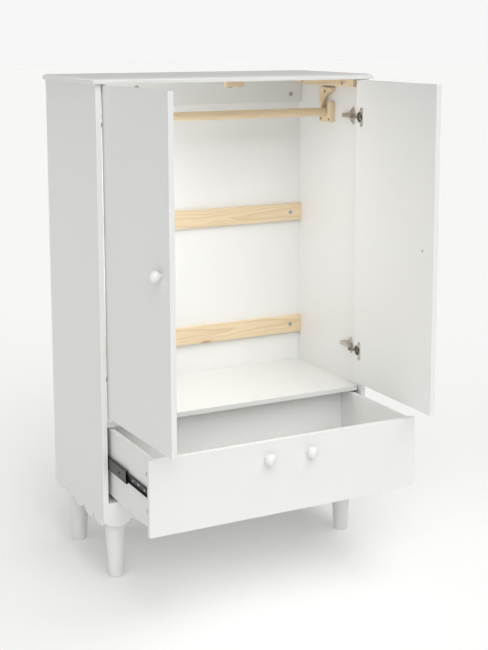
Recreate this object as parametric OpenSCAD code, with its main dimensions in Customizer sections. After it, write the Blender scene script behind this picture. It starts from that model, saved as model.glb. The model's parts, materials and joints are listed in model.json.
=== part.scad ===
// A child's wardrobe on four turned legs: two doors over a hanging space, one drawer under it,
// and a scalloped skirt round the base. Millimetres. The floor is z = 0, x = 0 is the middle of
// the width, and y = 0 is the plane of the front edges, with +y towards the back.
// The doors stand open and the drawer is pulled out, which is the rest pose.

/* [Carcass] */
// Width over the two side panels
carcass_w = 900; // [860:10:960]
// Depth of the side panels
carcass_d = 435; // [432:1:450]
// Height of the top's underside above the floor
carcass_h = 1474; // [1460:2:1500]
// Thickness of the painted boards
board = 16; // [15:0.5:17]
// Thickness of the back panel
back_t = 4; // [3:1:6]
// Depth of the back panel's front face behind the front edges
back_y = 409; // [407:1:411]

/* [Top] */
// How far the top stands out past the sides and the front
top_overhang = 10; // [6:1:16]
// Height of the square part of the top's edge
top_edge_h = 10; // [8:1:12]
// Width of the sloped moulding round the top
top_slope_w = 12; // [8:1:16]

/* [Shelf and skirt] */
// Height of the shelf's upper face
shelf_z = 491; // [488:1:493]
// How far the shelf is set back from the front edges
shelf_inset = 15; // [14:1:18]
// Radius of the shelf's front corners
shelf_corner_r = 8; // [4:1:12]
// Height of the skirt's straight top edge
skirt_z = 251; // [248:1:252]
// Height of the points between two scallops
cusp_z = 196; // [190:1:200]
// How far a scallop hangs below those points
scallop_sag = 21; // [16:1:26]
// Number of scallops along the front
front_scallops = 10; // [8:1:12]
// Number of scallops along each side
side_scallops = 5; // [4:1:6]

/* [Legs] */
// Distance of a leg's axis from the side panel's outer face
leg_inset_x = 56; // [52:1:60]
// Distance of a front leg's axis from the front edges
leg_front_y = 54; // [50:1:60]
// Distance of a rear leg's axis from the back edges
leg_rear_y = 61; // [58:1:70]
// Radius of a leg at its top
leg_top_r = 31.5; // [28:0.5:33]
// Radius of a leg at the floor
leg_foot_r = 22.5; // [18:0.5:26]

/* [Doors] */
// Height of the doors' lower edge
door_z = 508; // [505:1:512]
// Gap above the doors
door_top_gap = 2.5; // [2:0.5:4]
// Gap between a door and the side panel
door_side_gap = 2; // [1.5:0.5:3]
// Gap between the two doors
door_mid_gap = 3; // [2:0.5:5]
// How far the left door stands open, in degrees
left_open = 88; // [80:0.5:95]
// How far the right door stands open, in degrees
right_open = 89.5; // [80:0.5:95]
// Height of the upper hinges
hinge_high_z = 1357; // [1300:1:1370]
// Height of the lower hinges
hinge_low_z = 614; // [600:1:680]

/* [Knobs] */
// Radius of a knob's ball
knob_r = 16.4; // [14:0.2:18]
// Distance of a knob's centre from the face it stands on
knob_stand = 17.5; // [17:0.5:20]
// Distance of a door knob from the door's free edge
door_knob_edge = 55; // [40:1:70]
// Half the distance between the drawer's knobs
drawer_knob_x = 69; // [50:1:120]
// Height of the drawer's knobs
drawer_knob_z = 424; // [400:1:435]

/* [Drawer] */
// How far the drawer is pulled out
drawer_out = 307; // [200:1:340]
// Height of the drawer front's lower edge
drawer_z = 254.5; // [253:0.5:258]
// Height of the drawer front
drawer_front_h = 218.5; // [214:0.5:219]
// Thickness of the drawer's side and back boards
drawer_board = 15; // [12:1:16]
// Gap for a slide on each side of the drawer
slide_gap = 12.7; // [12.5:0.1:13]
// Length of a slide when it is closed
slide_len = 350; // [340:10:360]
// Height of the slides' centre line
slide_z = 372; // [366:1:378]

/* [Hanging rail] */
// Radius of the hanging rail
rail_r = 14; // [12:0.5:14.5]
// Depth of the rail's axis behind the front edges
rail_y = 215; // [210:1:220]
// Height of the rail's axis
rail_z = 1363; // [1355:1:1370]

/* [Hidden] */

// Carcass
half_w = carcass_w / 2;
inner_x = half_w - board;
top_z = carcass_h + board;
top_slope_h = board - top_edge_h;
shelf_under = shelf_z - board;
rail_board_y = back_y - board;
front_pitch = carcass_w / front_scallops;
side_pitch = carcass_d / side_scallops;
base_under = skirt_z - board;
// Back slats: height of the lower edge of each, and their width
slat_h = 58;
slat_upper_z = 982;
slat_lower_z = 591;
rail_top_h = 89;
// Cam locks in the back boards and the drawer sides
cam_r = 7.5;
cam_depth = 12;
cam_fit = 0.05;
cam_from_end = 43;
cam_top_x = 166;
// Cleats under the top
cleat_w = 24;
cleat_h = 26;
cleat_front = 28;
cleat_dowel_y = [95, 347];
dowel_r = 7;
dowel_depth = 12;
dowel_z = carcass_h - 15;
// Door stop under the top
stop_w = 62;
stop_d = 20;
stop_h = 17;
stop_y = 25;
stop_screw_x = 18;
// Legs
leg_x = half_w - leg_inset_x;
leg_ys = [leg_front_y, carcass_d - leg_rear_y];
glide_h = 4;
glide_r = 18;
leg_taper_z = 165;
bolt_r = 4;
bolt_head_r = 9;
bolt_head_h = 3;
bolt_in_leg = 40;
// Rail brackets
bracket_t = 16;
bracket_y = 176;
bracket_w = 74;
bracket_z = 1329;
bracket_h = 112;
slot_r = 15.5;
cut_r = 63.5;
cut_y = 170;
cut_z = 1365;
upright_w = 23.5;
upright_top = 1394;
upright_r = 10;
bracket_screws_yz = [[214.5, 1427.5], [240, 1338], [188, 1338]];
// Doors, drawn closed at the left
door_h = carcass_h - door_top_gap - door_z;
door_w = inner_x - door_side_gap - door_mid_gap / 2;
door_edge_x = -inner_x + door_side_gap;
door_knob_z = door_z + door_h / 2;
pivot_in = 10;
pivot_x = -inner_x + pivot_in;
pivot_y = 4;
// Concealed hinges, drawn at the left
hinge_zs = [hinge_low_z, hinge_high_z];
cup_r = 17.5;
cup_depth = 12.5;
cup_floor = 1.5;
cup_mouth_r = 15;
cup_from_edge = 22;
cup_x = door_edge_x + cup_from_edge;
flange_t = 1.2;
flange_from_edge = 32;
flange_x = door_edge_x + flange_from_edge;
flange_l = 60;
flange_w = 12;
cup_screw_z = 24;
arm_pin = [-inner_x + 30, 20];
cup_pin = [door_edge_x + 8.5, 8.5];
hinge_pin_r = 1.2;
link_half = 4.2;
link_t = 2.2;
link_eye_r = 2.7;
link_reach = 18;
link_bulge = 6;
cup_notch = 3;
plate_y = 68;
plate_screw_z = 16;
plate_front = 12;
plate_back = 42;
plate_t = 2;
plate_wing_r = 10;
plate_wing_z = 20;
plate_body_half = 8;
plate_body_t = 2.8;
rib_front = 8;
rib_back = 38;
rib_half = 4.4;
rib_reach = 9;
arm_end = 112;
cheek_t = 1.5;
wood_screw_r = 2;
// Slides: half the height of each member, and how far its flanges and web reach along x
steel = 1.4;
outer_half = 22.5;
outer_reach = 9.5;
middle_half = 18.6;
middle_from = 2.2;
middle_web = 2.2;
middle_reach = 8.2;
middle_hole_r = 4;
middle_hole_ys = [70, 300];
inner_half = 13.4;
inner_reach = 6.4;
slide_front_y = 20;
// Drawer, drawn closed
drawer_half = inner_x - slide_gap;
drawer_in_x = drawer_half - drawer_board;
drawer_side_z = 270;
drawer_side_h = 200;
drawer_back_y = 396;
drawer_floor_z = 276;
drawer_floor_t = 5;
drawer_cam_y = 42;
drawer_cam_zs = [316, 422];
slide_screw_ys = [57, 141, 300];
knob_neck_r = 8;
knob_flat = 0.4;
knob_bore_depth = 14;
knob_screw_r = 2;

// Picks the left or the right copy of a piece drawn at the left
module at_side(side) {
    if (side > 0) mirror([1, 0, 0]) children();
    else children();
}

// A board from its lowest to its highest corner
module board_box(low, high) {
    translate(low) cube([high[0] - low[0], high[1] - low[1], high[2] - low[2]]);
}

// Turns a piece drawn closed at the left to the door's rest pose
module swing(side, opened) {
    translate([side * -pivot_x, pivot_y, 0])
        rotate([0, 0, side * opened])
            translate([side * pivot_x, -pivot_y, 0])
                at_side(side) children();
}

// A cylinder along x, from x1 to x2
module bar_x(r, x1, x2, y, z) {
    translate([x1, y, z]) rotate([0, 90, 0]) cylinder(r = r, h = x2 - x1, $fn = 48);
}

// A cylinder along y, from y1 to y2
module bar_y(r, x, y1, y2, z) {
    translate([x, y2, z]) rotate([90, 0, 0]) cylinder(r = r, h = y2 - y1, $fn = 48);
}

// ---------- carcass ----------

// A row of scallops, as bars along x whose lowest points lie scallop_sag under the cusps
function scallop_r(pitch) = (pitch * pitch / 4 + scallop_sag * scallop_sag) / (2 * scallop_sag);

module side_panel() {
    r = scallop_r(side_pitch);
    difference() {
        intersection() {
            union() {
                board_box([-half_w, 0, skirt_z], [-inner_x, carcass_d, carcass_h]);
                board_box([-half_w, board, 0], [-inner_x, carcass_d, skirt_z]);
            }
            union() {
                board_box([-half_w, 0, cusp_z], [-inner_x, carcass_d, carcass_h]);
                for (k = [0 : side_scallops - 1])
                    bar_x(r, -half_w, -inner_x, (k + 0.5) * side_pitch, cusp_z - scallop_sag + r);
            }
        }
        for (z = hinge_zs, dz = [-plate_screw_z, plate_screw_z])
            bar_x(wood_screw_r, -inner_x - 10, -inner_x + 1, plate_y, z + dz);
    }
}

module side_left() { color("whitesmoke") side_panel(); }

module side_right() { color("whitesmoke") at_side(1) side_panel(); }

module skirt_front() {
    r = scallop_r(front_pitch);
    color("whitesmoke") intersection() {
        board_box([-half_w, 0, 0], [half_w, board, skirt_z]);
        union() {
            board_box([-half_w, 0, cusp_z], [half_w, board, skirt_z]);
            for (k = [0 : front_scallops - 1])
                bar_y(r, -half_w + (k + 0.5) * front_pitch, 0, board, cusp_z - scallop_sag + r);
        }
    }
}

// The sloped moulding runs along the front and both ends, and stops flush at the back
module top() {
    x = half_w + top_overhang;
    color("white") intersection() {
        translate([0, carcass_d, 0]) rotate([90, 0, 0])
            linear_extrude(carcass_d + top_overhang)
                polygon([
                    [-x, carcass_h], [x, carcass_h], [x, carcass_h + top_edge_h],
                    [x - top_slope_w, top_z], [top_slope_w - x, top_z], [-x, carcass_h + top_edge_h]
                ]);
        translate([-x, 0, 0]) rotate([90, 0, 90])
            linear_extrude(2 * x)
                polygon([
                    [-top_overhang, carcass_h], [carcass_d, carcass_h], [carcass_d, top_z],
                    [top_slope_w - top_overhang, top_z], [-top_overhang, carcass_h + top_edge_h]
                ]);
    }
}

module floor_shelf() {
    r = shelf_corner_r;
    color("white") difference() {
        board_box([-inner_x, shelf_inset, shelf_under], [inner_x, back_y, shelf_z]);
        for (s = [-1, 1])
            difference() {
                translate([s * (inner_x - r / 2), shelf_inset + r / 2 - 1, shelf_under - 1])
                    translate([-r / 2 - (s < 0 ? 1 : 0), -r / 2, 0]) cube([r + 1, r + 1, board + 2]);
                translate([s * (inner_x - r), shelf_inset + r, shelf_under - 2])
                    cylinder(r = r, h = board + 4, $fn = 48);
            }
    }
}

module base_board() {
    color("white") difference() {
        board_box([-inner_x, board, base_under], [inner_x, back_y, skirt_z]);
        for (s = [-1, 1], y = leg_ys)
            translate([s * leg_x, y, base_under - 1])
                cylinder(r = bolt_r + cam_fit, h = board + 2, $fn = 32);
    }
}

module back_panel() {
    color("white") board_box([-inner_x, back_y, base_under], [inner_x, back_y + back_t, carcass_h]);
}

// Places of the cam locks, as [x, z]
top_rail_cams = [
    [-inner_x + cam_from_end, carcass_h - 62], [-cam_top_x, carcass_h - 30],
    [cam_top_x, carcass_h - 30], [inner_x - cam_from_end, carcass_h - 62]
];
function slat_cams(z) = [for (s = [-1, 1]) [s * (inner_x - cam_from_end), z + slat_h / 2]];

module cam_bores(places) {
    for (p = places)
        bar_y(cam_r + cam_fit, p[0], rail_board_y - 1, rail_board_y + cam_depth + cam_fit, p[1]);
}

module back_rail_top() {
    color("white") difference() {
        board_box([-inner_x, rail_board_y, carcass_h - rail_top_h], [inner_x, back_y, carcass_h]);
        cam_bores(top_rail_cams);
    }
}

module back_slat(z) {
    color("burlywood") difference() {
        board_box([-inner_x, rail_board_y, z], [inner_x, back_y, z + slat_h]);
        cam_bores(slat_cams(z));
    }
}

module back_slat_upper() { back_slat(slat_upper_z); }

module back_slat_lower() { back_slat(slat_lower_z); }

// One cam lock with a cross slot, its face towards -y at y = 0
module cam_lock() {
    difference() {
        bar_y(cam_r, 0, 0, cam_depth, 0);
        for (a = [0, 90])
            rotate([0, a, 0]) translate([-5, -1, -0.9]) cube([10, 4, 1.8]);
        bar_y(1.8, 0, -1, 4, 0);
    }
}

module back_cams() {
    color("silver")
        for (p = concat(top_rail_cams, slat_cams(slat_upper_z), slat_cams(slat_lower_z)))
            translate([p[0], rail_board_y, p[1]]) cam_lock();
}

module cleat() {
    color("burlywood") difference() {
        board_box([-inner_x, cleat_front, carcass_h - cleat_h],
                  [-inner_x + cleat_w, rail_board_y, carcass_h]);
        for (y = cleat_dowel_y)
            bar_x(dowel_r + cam_fit, -inner_x + cleat_w - dowel_depth - cam_fit,
                  -inner_x + cleat_w + 1, y, dowel_z);
    }
}

module cleat_left() { cleat(); }

module cleat_right() { at_side(1) cleat(); }

module cleat_dowels() {
    x = -inner_x + cleat_w;
    color("silver") for (side = [-1, 1], y = cleat_dowel_y) at_side(side)
        difference() {
            bar_x(dowel_r, x - dowel_depth, x, y, dowel_z);
            translate([x - 2, y - 5, dowel_z - 0.8]) cube([3, 10, 1.6]);
        }
}

module door_stop() {
    r = 6;
    color("burlywood") translate([0, stop_y, carcass_h - stop_h]) difference() {
        union() {
            translate([-stop_w / 2 + r, 0, 0]) cube([stop_w - 2 * r, stop_d, stop_h]);
            translate([-stop_w / 2, r, 0]) cube([stop_w, stop_d - 2 * r, stop_h]);
            for (s = [-1, 1], y = [r, stop_d - r])
                translate([s * (stop_w / 2 - r), y, 0]) cylinder(r = r, h = stop_h, $fn = 32);
        }
        for (s = [-1, 1])
            translate([s * stop_screw_x, stop_d / 2, -1])
                cylinder(r = wood_screw_r + cam_fit, h = stop_h + 2, $fn = 24);
    }
}

// A pan-head screw along +z: the head hangs below z = 0, the shank rises to z = length
module pan_screw(length, head_r, head_h, shank_r) {
    difference() {
        union() {
            translate([0, 0, -head_h]) cylinder(r = head_r, h = head_h, $fn = 32);
            cylinder(r = shank_r, h = length, $fn = 24);
        }
        for (a = [0, 90])
            rotate([0, 0, a]) translate([-head_r * 0.55, -0.5, -head_h - 1])
                cube([head_r * 1.1, 1, head_h * 0.5 + 1]);
    }
}

module door_stop_screws() {
    color("silver") for (s = [-1, 1])
        translate([s * stop_screw_x, stop_y + stop_d / 2, carcass_h - stop_h])
            pan_screw(stop_h, 4.5, 2.5, wood_screw_r);
}

// ---------- hanging rail ----------

// A J-shaped bracket: the rail drops in from the front, over the short upright
module bracket() {
    x = -inner_x;
    color("burlywood") difference() {
        union() {
            difference() {
                board_box([x, bracket_y, bracket_z],
                          [x + bracket_t, bracket_y + bracket_w, bracket_z + bracket_h]);
                intersection() {
                    bar_x(cut_r, x - 1, x + bracket_t + 1, cut_y, cut_z);
                    board_box([x - 2, bracket_y - 1, rail_z],
                              [x + bracket_t + 2, rail_y + slot_r, bracket_z + bracket_h]);
                }
            }
            board_box([x, bracket_y, bracket_z],
                      [x + bracket_t, bracket_y + upright_w - upright_r, upright_top]);
            board_box([x, bracket_y, bracket_z],
                      [x + bracket_t, bracket_y + upright_w, upright_top - upright_r]);
            bar_x(upright_r, x, x + bracket_t, bracket_y + upright_w - upright_r,
                  upright_top - upright_r);
        }
        bar_x(slot_r, x - 1, x + bracket_t + 1, rail_y, rail_z);
        for (p = bracket_screws_yz)
            bar_x(wood_screw_r + cam_fit, x - 1, x + bracket_t + 1, p[0], p[1]);
    }
}

module bracket_left() { bracket(); }

module bracket_right() { at_side(1) bracket(); }

module bracket_screws() {
    color("dimgray") for (side = [-1, 1], p = bracket_screws_yz) at_side(side)
        translate([-inner_x + bracket_t, p[0], p[1]]) rotate([0, -90, 0])
            pan_screw(bracket_t, 4.2, 1.6, wood_screw_r);
}

module hanging_rail() {
    lift = rail_r - slot_r;
    color("burlywood") bar_x(rail_r, -inner_x + 1, inner_x - 1, rail_y, rail_z + lift);
}

// ---------- legs ----------

module leg(x, y) {
    color("white") translate([x, y, 0]) difference() {
        rotate_extrude($fn = 96) polygon([
            [0, glide_h], [leg_foot_r - 2, glide_h], [leg_foot_r, glide_h + 2],
            [leg_top_r, leg_taper_z], [leg_top_r, base_under], [0, base_under]
        ]);
        translate([0, 0, base_under - bolt_in_leg]) cylinder(r = bolt_r + cam_fit, h = 60, $fn = 32);
    }
}

module leg_front_left() { leg(-leg_x, leg_ys[0]); }

module leg_front_right() { leg(leg_x, leg_ys[0]); }

module leg_rear_left() { leg(-leg_x, leg_ys[1]); }

module leg_rear_right() { leg(leg_x, leg_ys[1]); }

module leg_glides() {
    color("gainsboro") for (s = [-1, 1], y = leg_ys)
        translate([s * leg_x, y, 0]) cylinder(r = glide_r, h = glide_h, $fn = 48);
}

module leg_bolts() {
    color("silver") for (s = [-1, 1], y = leg_ys)
        translate([s * leg_x, y, skirt_z]) rotate([180, 0, 0])
            pan_screw(board + bolt_in_leg - 2, bolt_head_r, bolt_head_h, bolt_r);
}

// ---------- concealed hinges ----------

// The winged plate on the side panel, with the rib that the arm is clipped over
module hinge_plate(z) {
    x = -inner_x;
    difference() {
        union() {
            board_box([x, plate_y - plate_wing_r, z - plate_wing_z],
                      [x + plate_t, plate_y + plate_wing_r, z + plate_wing_z]);
            for (s = [-1, 1])
                bar_x(plate_wing_r, x, x + plate_t, plate_y, z + s * plate_wing_z);
            board_box([x, plate_y - plate_front, z - plate_body_half],
                      [x + plate_body_t, plate_y + plate_back, z + plate_body_half]);
            board_box([x, plate_y - rib_front, z - rib_half],
                      [x + rib_reach, plate_y + rib_back, z + rib_half]);
        }
        for (s = [-1, 1])
            bar_x(wood_screw_r + cam_fit, x - 1, x + 3, plate_y, z + s * plate_screw_z);
    }
}

module hinge_plates() {
    color("silver") for (side = [-1, 1], z = hinge_zs) at_side(side) hinge_plate(z);
}

// The cranked arm: two cheeks and the web between them, with the pin that carries the link
module hinge_arm(z) {
    x = -inner_x;
    half = link_half + 0.5;
    web_from = 9.6;
    union() {
        for (s = [-1, 1])
            translate([0, 0, z + (s > 0 ? half : -half - cheek_t)]) linear_extrude(cheek_t)
                polygon([
                    [x + 3, arm_end], [x + 13, arm_end], [x + 15, 60], [x + 34, 26], [x + 33.5, 18.6],
                    [x + 30, 17.4], [x + 26.5, 19.5], [x + 23, 27], [x + 7, 48], [x + 3, 60]
                ]);
        translate([0, 0, z - half]) linear_extrude(2 * half)
            polygon([
                [x + web_from + 1.4, arm_end], [x + 13, arm_end], [x + 15, 60], [x + 34, 26],
                [x + 32.4, 25.6], [x + 13.3, 59.4], [x + web_from + 1.4, arm_end - 6]
            ]);
        translate([arm_pin[0], arm_pin[1], z - half - cheek_t])
            cylinder(r = hinge_pin_r, h = 2 * (half + cheek_t), $fn = 24);
    }
}

module hinge_arms() {
    color("silver") for (side = [-1, 1], z = hinge_zs) at_side(side) hinge_arm(z);
}

module hinge_plate_screws() {
    color("silver") for (side = [-1, 1], z = hinge_zs, s = [-1, 1]) at_side(side)
        translate([-inner_x + plate_t, plate_y, z + s * plate_screw_z]) rotate([0, -90, 0])
            pan_screw(11, 4, 1.8, wood_screw_r - cam_fit);
}

// The rest place of the cup's pin, and the link's direction from the arm's pin
function turned(p, a) = [
    pivot_x + (p[0] - pivot_x) * cos(a) + (p[1] - pivot_y) * sin(a),
    pivot_y + (p[1] - pivot_y) * cos(a) - (p[0] - pivot_x) * sin(a)
];
function link_angle(a) = atan2(turned(cup_pin, a)[1] - arm_pin[1], turned(cup_pin, a)[0] - arm_pin[0]);
link_len = norm(turned(cup_pin, left_open) - arm_pin);
bend_r = (link_len * link_len / 4 + link_bulge * link_bulge) / (2 * link_bulge);

// The bent link, from an eye on the arm's pin to an end that stops short of the cup's pin
module hinge_link(z, opened) {
    translate([arm_pin[0], arm_pin[1], z]) rotate([0, 0, link_angle(opened)]) difference() {
        union() {
            translate([0, 0, -link_half]) cylinder(r = link_eye_r, h = 2 * link_half, $fn = 32);
            intersection() {
                translate([link_len / 2, link_bulge - bend_r, -link_half])
                    difference() {
                        cylinder(r = bend_r + link_t / 2, h = 2 * link_half, $fn = 64);
                        translate([0, 0, -1])
                            cylinder(r = bend_r - link_t / 2, h = 2 * link_half + 2, $fn = 64);
                    }
                translate([0, -0.5, -link_half - 1]) cube([link_reach, 20.5, 2 * link_half + 2]);
            }
        }
        translate([0, 0, -link_half - 1])
            cylinder(r = hinge_pin_r + 0.05, h = 2 * link_half + 2, $fn = 24);
    }
}

module hinge_links_left() {
    color("silver") for (z = hinge_zs) hinge_link(z, left_open);
}

module hinge_links_right() {
    color("silver") for (z = hinge_zs) at_side(1) hinge_link(z, right_open);
}

// The cup in the door with its two-screw flange, notched where the link passes the rim
module hinge_cup(z) {
    difference() {
        union() {
            bar_y(cup_r, cup_x, board - cup_depth, board + flange_t, z);
            board_box([flange_x - flange_w / 2, board, z - flange_l / 2 + 6],
                      [flange_x + flange_w / 2, board + flange_t, z + flange_l / 2 - 6]);
            for (s = [-1, 1])
                bar_y(flange_w / 2, flange_x, board, board + flange_t, z + s * (flange_l / 2 - 6));
        }
        bar_y(cup_mouth_r, cup_x, board - cup_depth + cup_floor, board + 3, z);
        board_box([cup_x - cup_r - 1, board - cup_notch, z - link_half - 1],
                  [cup_x, board + flange_t + 1, z + link_half + 1]);
        for (s = [-1, 1])
            bar_y(wood_screw_r + cam_fit, flange_x, board - 1, board + 3, z + s * cup_screw_z);
    }
    translate([cup_pin[0], cup_pin[1], z - 10]) cylinder(r = hinge_pin_r, h = 20, $fn = 24);
}

module hinge_cups_left() {
    color("silver") swing(-1, left_open) for (z = hinge_zs) hinge_cup(z);
}

module hinge_cups_right() {
    color("silver") swing(1, right_open) for (z = hinge_zs) hinge_cup(z);
}

module cup_screws() {
    color("silver") for (z = hinge_zs, s = [-1, 1])
        translate([flange_x, board + flange_t, z + s * cup_screw_z]) rotate([90, 0, 0])
            pan_screw(11, 3.8, 1.5, wood_screw_r);
}

module cup_screws_left() { swing(-1, left_open) cup_screws(); }

module cup_screws_right() { swing(1, right_open) cup_screws(); }

// ---------- doors ----------

module door() {
    color("white") difference() {
        board_box([door_edge_x, 0, door_z], [door_edge_x + door_w, board, door_z + door_h]);
        for (z = hinge_zs) {
            bar_y(cup_r, cup_x, board - cup_depth, board + 1, z);
            for (s = [-1, 1])
                bar_y(wood_screw_r + cam_fit, flange_x, board - 10, board + 1, z + s * cup_screw_z);
        }
        bar_y(knob_screw_r + cam_fit, door_edge_x + door_w - door_knob_edge, -1, board + 1,
              door_knob_z);
    }
}

module door_left() { swing(-1, left_open) door(); }

module door_right() { swing(1, right_open) door(); }

// A round knob that stands on the plane y = 0 and points towards -y
module knob() {
    rotate([90, 0, 0]) difference() {
        rotate_extrude($fn = 96) intersection() {
            union() {
                translate([0, knob_stand]) circle(r = knob_r, $fn = 96);
                square([knob_neck_r, knob_stand]);
            }
            square([knob_r + 1, knob_stand + knob_r - knob_flat]);
        }
        translate([0, 0, -1]) cylinder(r = knob_screw_r + cam_fit, h = knob_bore_depth + 1, $fn = 24);
    }
}

module door_knob() {
    color("white") translate([door_edge_x + door_w - door_knob_edge, 0, door_knob_z]) knob();
}

module knob_door_left() { swing(-1, left_open) door_knob(); }

module knob_door_right() { swing(1, right_open) door_knob(); }

module door_knob_screw() {
    color("silver") translate([door_edge_x + door_w - door_knob_edge, board, door_knob_z])
        rotate([90, 0, 0]) pan_screw(board + knob_bore_depth - 2, 4, 2.4, knob_screw_r);
}

module knob_screw_left() { swing(-1, left_open) door_knob_screw(); }

module knob_screw_right() { swing(1, right_open) door_knob_screw(); }

// ---------- drawer slides ----------

// A channel: its web stands at x1, its flanges run from x1 to x2
module channel(x1, web_x, x2, half) {
    y1 = slide_front_y;
    y2 = slide_front_y + slide_len;
    union() {
        board_box([web_x, y1, slide_z - half], [web_x + steel, y2, slide_z + half]);
        for (s = [-1, 1])
            board_box([x1, y1, slide_z + (s > 0 ? half - steel : -half)],
                      [x2, y2, slide_z + (s > 0 ? half : steel - half)]);
    }
}

module slide_outer() {
    x = -inner_x;
    color("dimgray") channel(x, x, x + outer_reach, outer_half);
}

module slide_middle() {
    x = -inner_x + middle_from;
    color("dimgray") translate([0, -drawer_out / 2, 0]) difference() {
        channel(x, x + middle_web, x + middle_reach, middle_half);
        for (y = middle_hole_ys)
            bar_x(middle_hole_r, x - 1, x + middle_web + 3, y, slide_z);
    }
}

module slide_inner() {
    x = -inner_x + slide_gap;
    color("dimgray") translate([0, -drawer_out, 0]) difference() {
        channel(x - inner_reach, x - steel, x, inner_half);
        for (y = slide_screw_ys)
            bar_x(wood_screw_r, x - 3, x + 1, y, slide_z);
    }
}

module slide_outer_left() { slide_outer(); }

module slide_outer_right() { at_side(1) slide_outer(); }

module slide_middle_left() { slide_middle(); }

module slide_middle_right() { at_side(1) slide_middle(); }

module slide_inner_left() { slide_inner(); }

module slide_inner_right() { at_side(1) slide_inner(); }

module slide_screws() {
    color("silver") for (side = [-1, 1], y = slide_screw_ys) at_side(side)
        translate([-drawer_half - steel, y - drawer_out, slide_z]) rotate([0, 90, 0])
            pan_screw(12, 3.8, 1.6, wood_screw_r - cam_fit);
}

// ---------- drawer, drawn closed and pulled out ----------

module pulled() { translate([0, -drawer_out, 0]) children(); }

module drawer_front() {
    color("white") pulled() difference() {
        board_box([-inner_x + door_side_gap, 0, drawer_z],
                  [inner_x - door_side_gap, board, drawer_z + drawer_front_h]);
        for (s = [-1, 1])
            bar_y(knob_screw_r + cam_fit, s * drawer_knob_x, -1, board + 1, drawer_knob_z);
    }
}

module drawer_side() {
    color("white") pulled() difference() {
        board_box([-drawer_half, board, drawer_side_z],
                  [-drawer_in_x, drawer_back_y, drawer_side_z + drawer_side_h]);
        for (z = drawer_cam_zs)
            bar_x(cam_r + cam_fit, -drawer_half - 1, -drawer_half + cam_depth + cam_fit,
                  drawer_cam_y, z);
        for (y = slide_screw_ys)
            bar_x(wood_screw_r, -drawer_half - 1, -drawer_half + 11, y, slide_z);
    }
}

module drawer_side_left() { drawer_side(); }

module drawer_side_right() { at_side(1) drawer_side(); }

module drawer_back() {
    color("white") pulled()
        board_box([-drawer_in_x, drawer_back_y - drawer_board, drawer_side_z],
                  [drawer_in_x, drawer_back_y, drawer_side_z + drawer_side_h]);
}

module drawer_bottom() {
    color("white") pulled()
        board_box([-drawer_in_x, board, drawer_floor_z],
                  [drawer_in_x, drawer_back_y - drawer_board, drawer_floor_z + drawer_floor_t]);
}

module drawer_cams() {
    color("silver") pulled() for (side = [-1, 1], z = drawer_cam_zs) at_side(side)
        translate([-drawer_half, drawer_cam_y, z]) rotate([0, 0, -90]) cam_lock();
}

module drawer_knobs() {
    color("white") pulled() for (s = [-1, 1])
        translate([s * drawer_knob_x, 0, drawer_knob_z]) knob();
}

module drawer_knob_screws() {
    color("silver") pulled() for (s = [-1, 1])
        translate([s * drawer_knob_x, board, drawer_knob_z]) rotate([90, 0, 0])
            pan_screw(board + knob_bore_depth - 2, 4, 2.4, knob_screw_r);
}

side_left();
side_right();
top();
floor_shelf();
base_board();
back_panel();
skirt_front();
back_rail_top();
back_slat_upper();
back_slat_lower();
back_cams();
cleat_left();
cleat_right();
cleat_dowels();
door_stop();
door_stop_screws();
bracket_left();
bracket_right();
bracket_screws();
hanging_rail();
leg_front_left();
leg_front_right();
leg_rear_left();
leg_rear_right();
leg_glides();
leg_bolts();
hinge_plates();
hinge_arms();
hinge_plate_screws();
slide_outer_left();
slide_outer_right();
slide_middle_left();
slide_middle_right();
slide_inner_left();
slide_inner_right();
slide_screws();
door_left();
hinge_cups_left();
cup_screws_left();
knob_door_left();
knob_screw_left();
door_right();
hinge_cups_right();
cup_screws_right();
knob_door_right();
knob_screw_right();
hinge_links_left();
hinge_links_right();
drawer_front();
drawer_side_left();
drawer_side_right();
drawer_back();
drawer_bottom();
drawer_cams();
drawer_knobs();
drawer_knob_screws();
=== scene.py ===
import json
import math

import bmesh
import bpy
from bpy.props import FloatProperty, FloatVectorProperty, PointerProperty
from mathutils import Matrix, Vector


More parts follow.
